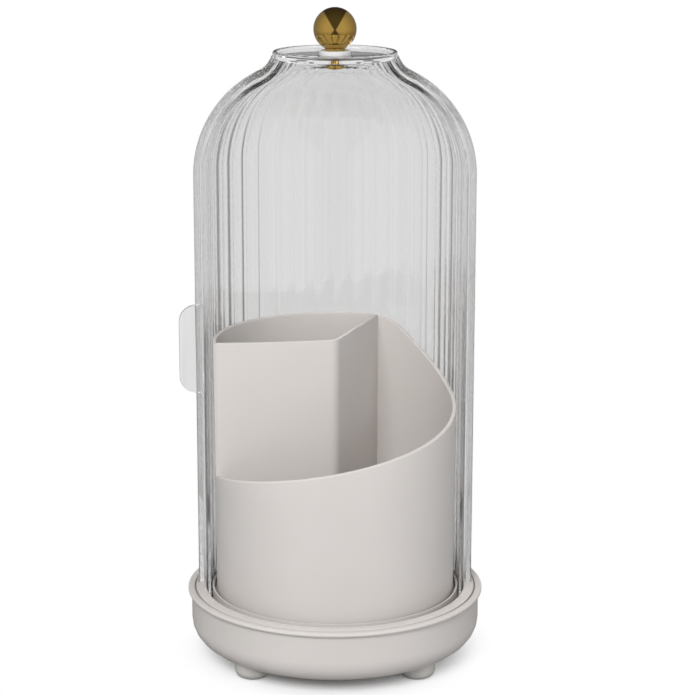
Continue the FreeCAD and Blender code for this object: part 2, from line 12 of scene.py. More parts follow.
import bmesh
import bpy
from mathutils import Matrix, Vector

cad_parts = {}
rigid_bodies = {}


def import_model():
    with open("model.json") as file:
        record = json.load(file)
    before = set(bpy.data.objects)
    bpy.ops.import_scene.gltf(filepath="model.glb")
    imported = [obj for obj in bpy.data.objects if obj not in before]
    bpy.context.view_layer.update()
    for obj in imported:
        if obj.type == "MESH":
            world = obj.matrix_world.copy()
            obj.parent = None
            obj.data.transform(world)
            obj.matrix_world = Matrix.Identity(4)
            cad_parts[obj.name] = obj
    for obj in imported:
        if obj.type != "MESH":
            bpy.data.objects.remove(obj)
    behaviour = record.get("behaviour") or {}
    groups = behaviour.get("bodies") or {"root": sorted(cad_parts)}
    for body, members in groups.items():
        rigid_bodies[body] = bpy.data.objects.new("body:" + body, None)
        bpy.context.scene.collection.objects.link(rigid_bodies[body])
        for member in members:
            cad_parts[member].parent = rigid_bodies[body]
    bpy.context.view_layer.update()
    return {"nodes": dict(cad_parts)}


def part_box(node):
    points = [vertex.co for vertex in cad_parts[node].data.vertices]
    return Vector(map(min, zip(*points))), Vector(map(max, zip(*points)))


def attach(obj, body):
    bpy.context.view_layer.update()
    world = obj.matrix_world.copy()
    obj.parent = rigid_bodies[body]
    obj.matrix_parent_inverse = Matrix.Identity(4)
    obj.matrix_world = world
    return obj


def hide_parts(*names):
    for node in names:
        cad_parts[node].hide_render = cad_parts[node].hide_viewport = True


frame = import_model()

# %% [markdown]
# ## Sizes that several pieces share
# A lathe thinks in a radius and a height, so the shared sizes are radii and heights
# in millimetres. What the frame can tell is read from the frame.

# %% Shared sizes in millimetres
MM = 0.001


def span(node):
    """Lowest and highest corner of a CAD node, in millimetres."""
    low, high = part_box(node)
    return low / MM, high / MM


tray_low, tray_high = span("base_tray")
ring_low, ring_high = span("cover_ring")
cup_low, cup_high = span("cup")
dome_low, dome_high = span("dome_shell")
door_low, door_high = span("door_shell")
knob_low, knob_high = span("knob")

tray_radius = tray_high.x
ring_top = ring_high.z
dome_radius = 65.4
dome_wall = 2.9
door_radius = 61.2
door_wall = 2.0
flute_count = 20
dome_flute_depth = 0.8
door_flute_depth = 0.6
door_offset = dome_radius - door_radius
shoulder_radius = 53.55
shoulder_base = ring_top + 195.9
hollow_radius = 12.55
neck_radius = 28.3
dome_rim_height = 2.5
dome_disc = 1.6
door_disc = 1.6
disc_sink = 1.5
disc_top = dome_high.z - disc_sink
disc_bottom = disc_top - dome_disc
neck_top = dome_high.z - dome_rim_height
screw_bore = 1.96
print("tray radius", round(tray_radius, 2), "ring top", round(ring_top, 2))

# %% [markdown]
# ## The camera
# The view is a product shot: the camera stands about a metre away, a little above the
# cup's rim, and looks down on the tray. A long lens keeps the sides of the dome upright.

# %% Camera
camera_distance = 1.030
camera_height = 0.397
camera_pitch = 13.60
bpy.ops.object.camera_add(
    location=(0, -camera_distance, camera_height),
    rotation=(math.radians(90 - camera_pitch), 0, 0),
)
camera = bpy.context.object
camera.data.lens = 117.6
camera.data.sensor_width = 36.0
camera.data.shift_x = 0.018
bpy.context.scene.camera = camera
bpy.context.scene.view_settings.view_transform = "Standard"
print("camera looks down by", camera_pitch, "degrees")

# %% [markdown]
# ## Room for light to bounce
# Light that enters a clear wall by its edge is thrown from side to side inside it, much
# as in a glass fibre, before it gets out again. With Blender's usual limits such a ray
# is given up half way and leaves a black line, so the limits are raised.

# %% Bounces
bounces = 128
cycles = bpy.context.scene.cycles
cycles.max_bounces = bounces
cycles.glossy_bounces = bounces
cycles.transmission_bounces = bounces
print("light may bounce", bounces, "times")

# %% [markdown]
# ## Colours and nodes
# Colours are picked as sRGB hex values, as a picture shows them, and a shader wants
# linear light, so one function turns one into the other. One more small function adds a
# node with its settings and links, which keeps every material a short list.

# %% Colour and node helpers
def linear(hex_colour):
    """The linear colour of an sRGB hex value such as #D0CCCA."""
    shares = [int(hex_colour[i:i + 2], 16) / 255 for i in (1, 3, 5)]
    return [s / 12.92 if s <= 0.04045 else ((s + 0.055) / 1.055) ** 2.4 for s in shares] + [1.0]


def add_node(tree, kind, settings=None, links=None):
    """Adds a node, fills its sockets or options by name, and links others into it."""
    node = tree.nodes.new(kind)
    for name, value in (settings or {}).items():
        if isinstance(name, int) or name in node.inputs:
            node.inputs[name].default_value = value
        else:
            setattr(node, name, value)
    for name, source in (links or {}).items():
        tree.links.new(source, node.inputs[name])
    return node


def new_material(name):
    """A material with its node tree and its main shader."""
    material = bpy.data.materials.new(name)
    material.use_nodes = True
    tree = material.node_tree
    return material, tree, tree.nodes["Principled BSDF"]


print("greige in linear light:", [round(value, 3) for value in linear("#D0CCCA")])

# %% [markdown]
# ## The studio
# A pale table fades into a white background. The table is a real surface near the
# object, so it keeps the shadow, and turns into plain white further away.
# The world is plain white for the camera. Clear plastic on plain white all round would
# hardly show, so photographers stand white panels around it with grey gaps between them.
# A flute bends light most at its valleys, so there the gaps show as thin dark lines.
# Metal and glass mirror two bright sides with a dark wedge above and below between
# them, as between two soft boxes that dim towards the floor. The table isn't mirrored.

# %% Table and world
table_white = "#FFFFFF"
table_grey = "#C4C4C4"
fade_start = 0.042
fade_end = 0.080

bpy.ops.mesh.primitive_circle_add(vertices=96, radius=0.6, fill_type="NGON")
table = bpy.context.object
table.name = "table"
table.visible_glossy = False
table.visible_transmission = False
material, tree, shader = new_material("matt_white_table")
shader.inputs["Roughness"].default_value = 0.9
place = add_node(tree, "ShaderNodeTexCoord")
reach = add_node(tree, "ShaderNodeVectorMath", {"operation": "LENGTH"},
                 {0: place.outputs["Object"]})
fade = add_node(tree, "ShaderNodeMapRange",
                {"interpolation_type": "SMOOTHSTEP", "From Min": fade_start, "From Max": fade_end},
                {"Value": reach.outputs["Value"]})
white = add_node(tree, "ShaderNodeEmission", {"Color": linear("#FFFFFF")})
path = add_node(tree, "ShaderNodeLightPath")
tone = add_node(tree, "ShaderNodeMix",
                {"data_type": "RGBA", 6: linear(table_grey), 7: linear(table_white)},
                {0: path.outputs["Is Camera Ray"]})
tree.links.new(tone.outputs[2], shader.inputs["Base Color"])
share = add_node(tree, "ShaderNodeMath", {"operation": "MULTIPLY"},
                 {0: fade.outputs["Result"], 1: path.outputs["Is Camera Ray"]})
mixed = add_node(tree, "ShaderNodeMixShader", None,
                 {0: share.outputs["Value"], 1: shader.outputs["BSDF"], 2: white.outputs["Emission"]})
tree.links.new(mixed.outputs["Shader"], tree.nodes["Material Output"].inputs["Surface"])
table.data.materials.append(material)

world = bpy.data.worlds.new("studio")
bpy.context.scene.world = world
world.use_nodes = True
tree = world.node_tree
background = tree.nodes["Background"]
path = add_node(tree, "ShaderNodeLightPath")
direction = add_node(tree, "ShaderNodeTexCoord")
split = add_node(tree, "ShaderNodeSeparateXYZ", None, {0: direction.outputs["Generated"]})
panel_count = 8
turn = add_node(tree, "ShaderNodeMath", {"operation": "ARCTAN2"},
                {0: split.outputs["X"], 1: split.outputs["Y"]})
wave = add_node(tree, "ShaderNodeMath", {"operation": "MULTIPLY", 1: panel_count},
                {0: turn.outputs["Value"]})
ripple = add_node(tree, "ShaderNodeMath", {"operation": "COSINE"}, {0: wave.outputs["Value"]})
panels = add_node(tree, "ShaderNodeMapRange",
                  {"interpolation_type": "SMOOTHSTEP", "From Min": -0.96, "From Max": -0.66,
                   "To Min": 0.24, "To Max": 0.81},
                  {"Value": ripple.outputs["Value"]})
side = add_node(tree, "ShaderNodeMath", {"operation": "ABSOLUTE"}, {0: split.outputs["X"]})
rise = add_node(tree, "ShaderNodeMath", {"operation": "ABSOLUTE"}, {0: split.outputs["Z"]})
wedge = add_node(tree, "ShaderNodeMath", {"operation": "MULTIPLY_ADD", 1: -0.6},
                 {0: rise.outputs["Value"], 2: side.outputs["Value"]})
boxes = add_node(tree, "ShaderNodeMapRange",
                 {"interpolation_type": "SMOOTHSTEP", "From Min": 0.04, "From Max": 0.14,
                  "To Min": 0.14, "To Max": 0.86},
                 {"Value": wedge.outputs["Value"]})
depth = add_node(tree, "ShaderNodeMapRange",
                 {"From Min": -0.6, "From Max": 0.8, "To Min": 1.0, "To Max": 0.4},
                 {"Value": split.outputs["Y"]})
below = add_node(tree, "ShaderNodeMapRange",
                 {"From Min": -0.8, "From Max": -0.1, "To Min": 0.25, "To Max": 1.0},
                 {"Value": split.outputs["Z"]})
sides = add_node(tree, "ShaderNodeMath", {"operation": "MULTIPLY"},
                 {0: boxes.outputs["Result"], 1: depth.outputs["Result"]})
mirrored = add_node(tree, "ShaderNodeMath", {"operation": "MULTIPLY"},
                    {0: sides.outputs["Value"], 1: below.outputs["Result"]})
ambient = add_node(tree, "ShaderNodeMapRange",
                   {"From Min": -0.1, "From Max": 0.9, "To Min": 0.12, "To Max": 0.72},
                   {"Value": split.outputs["Z"]})
lit = add_node(tree, "ShaderNodeMix", None,
               {0: path.outputs["Is Glossy Ray"], 2: ambient.outputs["Result"],
                3: mirrored.outputs["Value"]})
through = add_node(tree, "ShaderNodeMix", None,
                   {0: path.outputs["Is Transmission Ray"], 2: lit.outputs[0],
                    3: panels.outputs["Result"]})
level = add_node(tree, "ShaderNodeMix", {3: 1.0},
                 {0: path.outputs["Is Camera Ray"], 2: through.outputs[0]})
tree.links.new(level.outputs[0], background.inputs["Strength"])
background.inputs["Color"].default_value = linear("#FFFFFF")
print("table and world made")

# %% [markdown]
# ## The lamps
# Three large soft lamps: a main one high in front and a little to the left, a weak one
# on the right, and a strip behind that puts a bright edge on the clear walls.

# %% Lamps
def soft_lamp(name, place, size, power):
    """A rectangular lamp that points at the middle of the holder and isn't mirrored by it."""
    aim = Vector((0, 0, 0.15)) - Vector(place)
    bpy.ops.object.light_add(type="AREA", location=place)
    lamp = bpy.context.object
    lamp.name = name
    lamp.rotation_euler = aim.to_track_quat("-Z", "Y").to_euler()
    lamp.data.shape = "RECTANGLE"
    lamp.data.size, lamp.data.size_y = size
    lamp.data.energy = power
    lamp.visible_glossy = False


soft_lamp("main_lamp", (-0.35, -1.3, 1.15), (0.8, 0.8), 20.0)
soft_lamp("fill_lamp", (0.9, -1.2, 0.5), (0.4, 0.8), 3.0)
soft_lamp("back_lamp", (0.5, 1.2, 0.9), (0.9, 0.5), 6.0)

# %% [markdown]
# ## Satin moulded plastic
# Tray, ring, turntable and cup are ABS in a warm light greige, moulded in a finely
# etched tool. That gives a soft sheen with no clear mirror image, and a grain that is
# only felt. The grain is drawn about three times as coarse as the real 0.1 mm.

# %% Satin greige ABS
def satin_abs(name, colour, shade):
    material, tree, shader = new_material(name)
    place = add_node(tree, "ShaderNodeTexCoord")
    cloud_mm = 30.0
    cloud = add_node(tree, "ShaderNodeTexNoise", {"Scale": 1000 / cloud_mm, "Detail": 2.0},
                     {"Vector": place.outputs["Object"]})
    tint = add_node(tree, "ShaderNodeMix",
                    {"data_type": "RGBA", 6: linear(colour), 7: linear(shade)},
                    {0: cloud.outputs["Fac"]})
    tree.links.new(tint.outputs[2], shader.inputs["Base Color"])
    grain_mm = 0.3
    grain = add_node(tree, "ShaderNodeTexNoise", {"Scale": 1000 / grain_mm, "Detail": 3.0},
                     {"Vector": place.outputs["Object"]})
    bump = add_node(tree, "ShaderNodeBump", {"Strength": 0.25, "Distance": 0.02 * MM},
                    {"Height": grain.outputs["Fac"]})
    tree.links.new(bump.outputs["Normal"], shader.inputs["Normal"])
    gloss = add_node(tree, "ShaderNodeMapRange", {"To Min": 0.34, "To Max": 0.42},
                     {"Value": cloud.outputs["Fac"]})
    tree.links.new(gloss.outputs["Result"], shader.inputs["Roughness"])
    shader.inputs["IOR"].default_value = 1.53
    return material


greige_abs = satin_abs("satin_greige_abs", "#D4CFCC", "#CFCAC6")
soft_pad = satin_abs("matt_greige_elastomer", "#C4C1BD", "#BEBBB6")
print("made", greige_abs.name, "and", soft_pad.name)

# %% [markdown]
# ## Clear plastic
# The shells are clear polystyrene: glossy, bent by its flutes and a touch grey where
# light travels far inside it. Real glass shading on real walls does the work, with the
# faint waviness of a large moulding. Narrow end faces come out of the mould a little
# frosted, and so is the spacer under the knob: they scatter light and look whitish.

# %% Clear moulded plastic
def clear_styrene(name, colour):
    material, tree, shader = new_material(name)
    place = add_node(tree, "ShaderNodeTexCoord")
    wave_mm = 9.0
    wave = add_node(tree, "ShaderNodeTexNoise", {"Scale": 1000 / wave_mm, "Detail": 1.0},
                    {"Vector": place.outputs["Object"]})
    bump = add_node(tree, "ShaderNodeBump", {"Strength": 0.05, "Distance": 0.05 * MM},
                    {"Height": wave.outputs["Fac"]})
    tree.links.new(bump.outputs["Normal"], shader.inputs["Normal"])
    shader.inputs["Base Color"].default_value = linear(colour)
    shader.inputs["Roughness"].default_value = 0.02
    shader.inputs["IOR"].default_value = 1.5
    shader.inputs["Transmission Weight"].default_value = 1.0
    return material


clear_plastic = clear_styrene("clear_polystyrene", "#F8F8F8")
edge_plastic = clear_styrene("mould_matt_polystyrene", "#FAFAFA")
edge_plastic.node_tree.nodes["Principled BSDF"].inputs["Roughness"].default_value = 0.12
milky_plastic = clear_styrene("milky_polystyrene", "#F4F3F3")
milky = milky_plastic.node_tree.nodes["Principled BSDF"]
milky.inputs["Roughness"].default_value = 0.3
milky.inputs["Transmission Weight"].default_value = 0.25
print("made", clear_plastic.name, "and its matt and milky kinds")

# %% [markdown]
# ## Metals and nylon
# The knob is lacquered brass, polished to a mirror, with hair-fine rub marks. Races and
# balls are bright steel, the pivot screw is zinc plated, cage, washer and bush are nylon.

# %% Metals and nylon
def metal(name, colour, roughness, mark_mm):
    material, tree, shader = new_material(name)
    place = add_node(tree, "ShaderNodeTexCoord")
    marks = add_node(tree, "ShaderNodeTexNoise", {"Scale": 1000 / mark_mm, "Detail": 4.0},
                     {"Vector": place.outputs["Object"]})
    gloss = add_node(tree, "ShaderNodeMapRange",
                     {"To Min": 0.8 * roughness, "To Max": 1.3 * roughness},
                     {"Value": marks.outputs["Fac"]})
    tree.links.new(gloss.outputs["Result"], shader.inputs["Roughness"])
    bump = add_node(tree, "ShaderNodeBump", {"Strength": 0.1, "Distance": 0.01 * MM},
                    {"Height": marks.outputs["Fac"]})
    tree.links.new(bump.outputs["Normal"], shader.inputs["Normal"])
    shader.inputs["Base Color"].default_value = linear(colour)
    shader.inputs["Metallic"].default_value = 1.0
    return material


def nylon(name, colour):
    material, tree, shader = new_material(name)
    place = add_node(tree, "ShaderNodeTexCoord")
    grain_mm = 0.4
    grain = add_node(tree, "ShaderNodeTexNoise", {"Scale": 1000 / grain_mm},
                     {"Vector": place.outputs["Object"]})
    bump = add_node(tree, "ShaderNodeBump", {"Strength": 0.2, "Distance": 0.02 * MM},
                    {"Height": grain.outputs["Fac"]})
    tree.links.new(bump.outputs["Normal"], shader.inputs["Normal"])
    shader.inputs["Base Color"].default_value = linear(colour)
    shader.inputs["Roughness"].default_value = 0.45
    shader.inputs["Subsurface Weight"].default_value = 0.2
    shader.inputs["Subsurface Radius"].default_value = (MM, MM, MM)
    return material


polished_brass = metal("polished_brass", "#B4924A", 0.10, 1.5)
bright_steel = metal("bright_steel", "#C8C8CA", 0.18, 0.8)
zinc_steel = metal("zinc_plated_steel", "#B4B6BA", 0.30, 0.6)
white_nylon = nylon("natural_nylon", "#EDEBE4")
# The bush is nylon given a dark grey: painted shade for the shade under the top disc.
painted_shade_grey = nylon("painted_shade_grey", "#77777A")
print("made five more materials")

# %% [markdown]
# ## Modelling helpers
# Nearly every piece of the holder is round, so the main tool is a lathe: a path of
# points is drawn by extruding one vertex again and again, and spun about the Z axis.
# Rounded corners are worked out first, from a corner and its rounding.

# %% Drawing and spinning
def at(radius, height, angle=0.0):
    """A place from a radius, a height in mm and a compass angle in degrees."""
    turn = math.radians(angle)
    return Vector((radius * math.cos(turn), radius * math.sin(turn), height)) * MM


def rounded(corners, steps=6):
    """Points along straight legs; a corner is (radius, height) or (radius, height, rounding)."""
    points = []
    for i, corner in enumerate(corners):
        here = Vector(corner[:2])
        if len(corner) == 2:
            points.append(here)
            continue
        before = (Vector(corners[i - 1][:2]) - here).normalized()
        after = (Vector(corners[(i + 1) % len(corners)][:2]) - here).normalized()
        half = before.angle(after) / 2
        centre = here + (before + after).normalized() * corner[2] / math.sin(half)
        first = here + before * corner[2] / math.tan(half) - centre
        last = here + after * corner[2] / math.tan(half) - centre
        sweep = first.angle(last)
        for k in range(steps + 1):
            part = sweep * k / steps
            arm = first * math.sin(sweep - part) + last * math.sin(part)
            points.append(centre + arm / math.sin(sweep))
    return [(p.x, p.y) for p in points]


def start_piece(name):
    """A new empty mesh, open in edit mode."""
    bpy.ops.object.select_all(action="DESELECT")
    bpy.ops.mesh.primitive_plane_add(size=MM)
    piece = bpy.context.object
    piece.name = name
    piece.data.name = name
    bpy.ops.object.mode_set(mode="EDIT")
    bpy.ops.mesh.select_all(action="SELECT")
    bpy.ops.mesh.delete(type="VERT")
    return piece


def draw(places):
    """Draws a chain of edges by extruding one vertex from place to place, and selects it."""
    bpy.ops.mesh.select_all(action="DESELECT")
    bpy.ops.mesh.primitive_plane_add(size=MM, location=places[0])
    bpy.ops.mesh.merge(type="CENTER")
    for here, there in zip(places, places[1:]):
        bpy.ops.mesh.extrude_region_move(TRANSFORM_OT_translate={"value": there - here})
    bpy.ops.mesh.select_linked()


def spin(degrees, steps):
    """Spins what is selected about the Z axis; the new end stays selected."""
    bpy.ops.mesh.spin(steps=steps, angle=-math.radians(degrees), center=(0, 0, 0), axis=(0, 0, 1))


def close_piece(piece, smooth_angle=32.0, gap=0.0005):
    """Merges doubles, fills open ends, points the faces outwards and smooths them."""
    bpy.ops.mesh.select_all(action="SELECT")
    bpy.ops.mesh.remove_doubles(threshold=gap * MM)
    bpy.ops.mesh.select_mode(type="EDGE")
    bpy.ops.mesh.select_all(action="DESELECT")
    bpy.ops.mesh.select_non_manifold(use_multi_face=False, use_non_contiguous=False, use_verts=False)
    bpy.ops.mesh.fill_holes(sides=0)
    bpy.ops.mesh.select_mode(type="VERT")
    bpy.ops.mesh.select_all(action="SELECT")
    bpy.ops.mesh.normals_make_consistent(inside=False)
    bpy.ops.object.mode_set(mode="OBJECT")
    smooth(piece, smooth_angle)


def smooth(piece, angle=32.0):
    """Shades a piece smooth except over sharper edges than the angle."""
    bpy.ops.object.select_all(action="DESELECT")
    piece.select_set(True)
    bpy.context.view_layer.objects.active = piece
    bpy.ops.object.shade_smooth_by_angle(angle=math.radians(angle))


def modify(piece, kind, **settings):
    """Adds a modifier, sets it and applies it."""
    bpy.ops.object.select_all(action="DESELECT")
    piece.select_set(True)
    bpy.context.view_layer.objects.active = piece
    modifier = piece.modifiers.new(kind.lower(), kind)
    for name, value in settings.items():
        setattr(modifier, name, value)
    bpy.ops.object.modifier_apply(modifier=modifier.name)


def combine(piece, other, operation):
    """Joins another closed piece to this one or cuts it away, then deletes the other."""
    modify(piece, "BOOLEAN", object=other, operation=operation, solver="EXACT")
    bpy.data.objects.remove(other)
    bpy.ops.object.mode_set(mode="EDIT")
    bpy.ops.mesh.select_all(action="SELECT")
    bpy.ops.mesh.dissolve_degenerate(threshold=0.001 * MM)
    bpy.ops.object.mode_set(mode="OBJECT")


def lathe(name, corners, steps=180, sweep=360.0, first=0.0, rounding_steps=6):
    """A closed outline of (radius, height, rounding) in mm, spun into a solid."""
    piece = start_piece(name)
    outline = rounded(corners, rounding_steps)
    on_axis = outline[0][0] == 0 and outline[-1][0] == 0
    draw([at(r, z, first) for r, z in (outline if on_axis else outline + outline[:1])])
    spin(sweep, steps)
    close_piece(piece)
    return piece


def dress(piece, material, body, slot, *nodes):
    """Gives a finished piece its material and its body, and hides the CAD nodes that it stands for."""
    piece.data.materials.clear()
    piece.data.materials.append(material)
    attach(piece, body)
    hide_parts(*nodes)
    print(piece.name, len(piece.data.polygons), "faces")


flat_within = 0.02


def frost_edges(piece, *angles):
    """Frosts a shell's end faces, which lie in upright half planes at these compass angles."""
    piece.data.materials.append(edge_plastic)
    for face in piece.data.polygons:
        off = [abs(face.center.dot(at(1, 0, angle + 90))) for angle in angles
               if face.center.dot(at(1, 0, angle)) > 0]
        if off and min(off) < flat_within * MM * MM:
            face.material_index = 1


print("helpers ready")

# %% [markdown]
# ## The tray
# The tray is one moulding: a shallow bowl with a large round corner, a rolled bead at
# its rim, a ledge for the ring, and under the turntable two low walls that carry the
# bearing and a boss for the pivot screw. One outline and one spin give all of it. The
# CAD tray's ribs lie under the turntable, where nothing shows them, and are left out.

# %% Tray
tray_body = 68.35
tray_mouth = 66.9
tray_floor = tray_low.z + 2.4
bead_bottom = tray_high.z - 1.9
ledge_inner = tray_mouth - 2.4
ledge_top = ring_top - 2.4
race_seat = span("lower_race")[0].z
boss_top = span("pivot_washer")[0].z
outer_wall = 49.5
race_outer = 47.7
outer_shelf = 45.9
inner_shelf = 40.2
inner_wall = 38.4
race_lip = race_seat + 1.5
boss_radius = 7.0
thread_radius = 2.06
thread_bottom = boss_top - 10.1
tray = lathe("tray_moulding", [
    (0, tray_low.z),
    (tray_body, tray_low.z, 11.6),
    (tray_body, bead_bottom, 0.3),
    (tray_radius, bead_bottom, 0.85),
    (tray_radius, tray_high.z, 0.85),
    (tray_mouth, tray_high.z, 0.5),
    (tray_mouth, ledge_top),
    (ledge_inner, ledge_top, 0.3),
    (ledge_inner, ledge_top - 2.6),
    (tray_body - 2.2, ledge_top - 7.8),
    (tray_body - 2.2, tray_floor, 9.4),
    (outer_wall, tray_floor),
    (outer_wall, race_lip),
    (race_outer, race_lip),
    (race_outer, race_seat),
    (outer_shelf, race_seat),
    (outer_shelf, tray_floor),
    (inner_shelf, tray_floor),
    (inner_shelf, race_seat),
    (inner_wall, race_seat),
    (inner_wall, tray_floor),
    (boss_radius, tray_floor),
    (boss_radius, boss_top),
    (thread_radius, boss_top),
    (thread_radius, thread_bottom),
    (0, thread_bottom),
], steps=240)
dress(tray, greige_abs, "base", "tray_plastic", "base_tray")

# %% [markdown]
# ## The feet
# Four round pads with a soft sole edge. Each is spun on the axis and moved to its place.

# %% Feet
foot_low, foot_high = span("foot_back_right")
foot_reach = math.hypot((foot_low.x + foot_high.x) / 2, (foot_low.y + foot_high.y) / 2)
foot_radius = (foot_high.x - foot_low.x) / 2
for index, side in enumerate(("back_right", "back_left", "front_left", "front_right")):
    foot = lathe("pad_" + side, [
        (0, 0),
        (foot_radius, 0, 3.8),
        (foot_radius, tray_low.z + 1.5),
        (0, tray_low.z + 1.5),
    ], steps=48, rounding_steps=8)
    bpy.ops.object.mode_set(mode="EDIT")
    bpy.ops.mesh.select_all(action="SELECT")
    bpy.ops.transform.translate(value=at(foot_reach, 0, 45 + 90 * index))
    bpy.ops.object.mode_set(mode="OBJECT")
    dress(foot, soft_pad, "base", "foot_plastic", "foot_" + side)

# %% [markdown]
# ## The cover's ring
# The ring lies on the tray's ledge. Its inner side has the groove that guides the door,
# and behind, a shallow half-round seat takes the fixed shell. The ring is spun whole and
# the seat is cut out of it with a spun cutter.

# %% Cover ring
groove_outer = door_radius + 0.25
groove_bottom = ring_top - 7.5
ring_bottom = ring_top - 2.4
ring_radius = 66.2
ring_mouth = 59.1
groove_back = groove_outer + 1.5
ring = lathe("cover_ring_moulding", [
    (ring_mouth, ring_low.z),
    (groove_back, ring_low.z, 0.6),
    (groove_back, ring_bottom),
    (ring_radius, ring_bottom),
    (ring_radius, ring_top, 0.3),
    (groove_outer, ring_top, 0.3),
    (groove_outer, groove_bottom),
    (ring_mouth, groove_bottom),
], steps=240)
seat = lathe("seat_cutter", [
    (dome_radius - dome_wall - 0.1, ring_top - 1.0),
    (dome_radius + 0.1, ring_top - 1.0),
    (dome_radius + 0.1, ring_top + 1.0),
    (dome_radius - dome_wall - 0.1, ring_top + 1.0),
], steps=120, sweep=180.2, first=-0.1)
combine(ring, seat, "DIFFERENCE")
smooth(ring)
dress(ring, greige_abs, "cover", "tray_plastic", "cover_ring")

# %% [markdown]
# ## The cup
# The cup's rim climbs for two thirds of a turn like a spiral stair, stays level for the
# rest and drops straight down. The wall is spun at full height, and then each column of the spun
# mesh is let down to the rim's height at its angle. The spin stops a hair short of a
# full turn, so that its low end and its high end can be told apart. The rows below the
# lowest rim stay, and there the two ends are merged.

# %% Cup wall and floor
cup_seat = cup_low.z
cup_top = cup_high.z
cup_foot_radius = 56.3
cup_taper = (57.2 - cup_foot_radius) / 123.2
cup_wall = 2.0
low_rim = cup_seat + 59.8
fixed_row = low_rim - 3.0
spiral_first = 190.4
spiral_sweep = 238.6
spiral_marks = ((0.0, 0.0), (0.35, 0.232), (0.70, 0.50), (0.80, 0.61), (0.90, 0.81), (1.0, 1.0))
spiral_slopes = (0.65, 0.70, 0.95, 1.60, 2.20, 0.0)
cup_steps = 360
seam = 0.02


def rim_share(turn):
    """The rim's share of its rise at a share of its turn, eased through the marks."""
    for i in range(len(spiral_marks) - 1):
        (x0, y0), (x1, y1) = spiral_marks[i], spiral_marks[i + 1]
        if turn <= x1:
            width = x1 - x0
            t = (turn - x0) / width
            return ((1 + 2 * t) * (1 - t) ** 2 * y0 + t * (1 - t) ** 2 * width * spiral_slopes[i]
                    + t * t * (3 - 2 * t) * y1 + t * t * (t - 1) * width * spiral_slopes[i + 1])
    return 1.0


def cup_radius(height):
    return cup_foot_radius + cup_taper * (height - cup_seat)


rim_round = 0.8
foot_recess = cup_seat + 0.8
foot_ring = cup_foot_radius - 4.8
floor_top = cup_seat + 2.8
cup = start_piece("spiral_cup")
cup_outline = rounded([
    (0, foot_recess),
    (foot_ring, foot_recess),
    (foot_ring, cup_seat),
    (cup_foot_radius, cup_seat, 1.5),
    (cup_radius(fixed_row), fixed_row),
    (cup_radius(cup_top), cup_top, rim_round),
    (cup_radius(cup_top) - cup_wall, cup_top, rim_round),
    (cup_radius(fixed_row) - cup_wall, fixed_row),
    (cup_foot_radius - cup_wall, floor_top, 3.0),
    (0, floor_top),
])
draw([at(r, z, spiral_first) for r, z in cup_outline])
spin(360 - seam, cup_steps)
bpy.ops.object.mode_set(mode="OBJECT")
for vertex in cup.data.vertices:
    if vertex.co.z < (fixed_row + 1) * MM:
        continue
    angle = math.degrees(math.atan2(vertex.co.y, vertex.co.x)) - spiral_first
    turn = (angle + seam / 2) % 360 / spiral_sweep
    drop = (cup_top - low_rim) * (1 - rim_share(turn))
    radius = vertex.co.xy.length
    vertex.co.xy *= (radius - cup_taper * drop * MM) / radius
    vertex.co.z -= drop * MM
bpy.ops.object.mode_set(mode="EDIT")
close_piece(cup, gap=0.03)
print("cup rim from", round(low_rim, 1), "to", round(cup_top, 1), "mm")

# %% [markdown]
# ## The divider
# A thin wall, bent once near the middle, parts the tall compartment from the low one.
# Its line is drawn in plan, pulled up into a sheet, given its thickness and rounded
# along its top. Its two ends run a little into the cup's wall.

# %% Divider
divider_wall = 1.8
divider_first = at(cup_foot_radius - 0.5, 0, spiral_first - 0.92) / MM
divider_last = at(cup_foot_radius - 0.5, 0, 68.6) / MM
divider_bend = (0.5, -2.3)
along = (Vector(divider_bend) - divider_first.xy).normalized()
bow = (divider_first.xy + Vector(divider_bend)) / 2 + Vector((along.y, -along.x)) * 2.6
plan = rounded([
    (divider_first.x, divider_first.y),
    (bow.x, bow.y, 250.0),
    (divider_bend[0], divider_bend[1], 5.0),
    (divider_last.x, divider_last.y),
], 12)
divider = start_piece("cup_divider")
divider_base = cup_seat + 1.5
draw([Vector((x, y, divider_base)) * MM for x, y in plan])
bpy.ops.mesh.select_all(action="SELECT")
bpy.ops.mesh.extrude_region_move(TRANSFORM_OT_translate={"value": (0, 0, (cup_top - divider_base) * MM)})
bpy.ops.object.mode_set(mode="OBJECT")
modify(divider, "SOLIDIFY", thickness=divider_wall * MM, offset=0.0, use_even_offset=True)
modify(divider, "BEVEL", width=0.5 * MM, segments=3, limit_method="ANGLE", angle_limit=math.radians(60))
smooth(divider)
dress(cup, greige_abs, "turntable", "tray_plastic", "cup")
dress(divider, greige_abs, "turntable", "tray_plastic")

# %% [markdown]
# ## One path for both shells
# Wall, shoulder and neck of the dome are two arcs and a straight line. The door lies a
# few millimetres inside the dome all over, so its path is the same one with an offset.

# %% Path of the shells
shoulder_centre = dome_radius - shoulder_radius
hollow_centre = neck_radius + hollow_radius
centre_gap = shoulder_radius + hollow_radius
hollow_height = shoulder_base + math.sqrt(centre_gap ** 2 - (hollow_centre - shoulder_centre) ** 2)
turn_angle = math.atan2(hollow_height - shoulder_base, hollow_centre - shoulder_centre)
shoulder_steps = 28
neck_steps = 16


def shell_path(offset, bottom, top):
    """Radius and height up a shell's wall, over its shoulder and up its neck."""
    shoulder = shoulder_radius - offset
    hollow = hollow_radius + offset
    neck_angle = math.asin((hollow_height - top) / hollow)
    points = [(shoulder_centre + shoulder, bottom)]
    for k in range(shoulder_steps + 1):
        angle = turn_angle * k / shoulder_steps
        points.append((shoulder_centre + shoulder * math.cos(angle),
                       shoulder_base + shoulder * math.sin(angle)))
    for k in range(1, neck_steps + 1):
        angle = turn_angle + (neck_angle - turn_angle) * k / neck_steps
        points.append((hollow_centre - hollow * math.cos(angle),
                       hollow_height - hollow * math.sin(angle)))
    return points


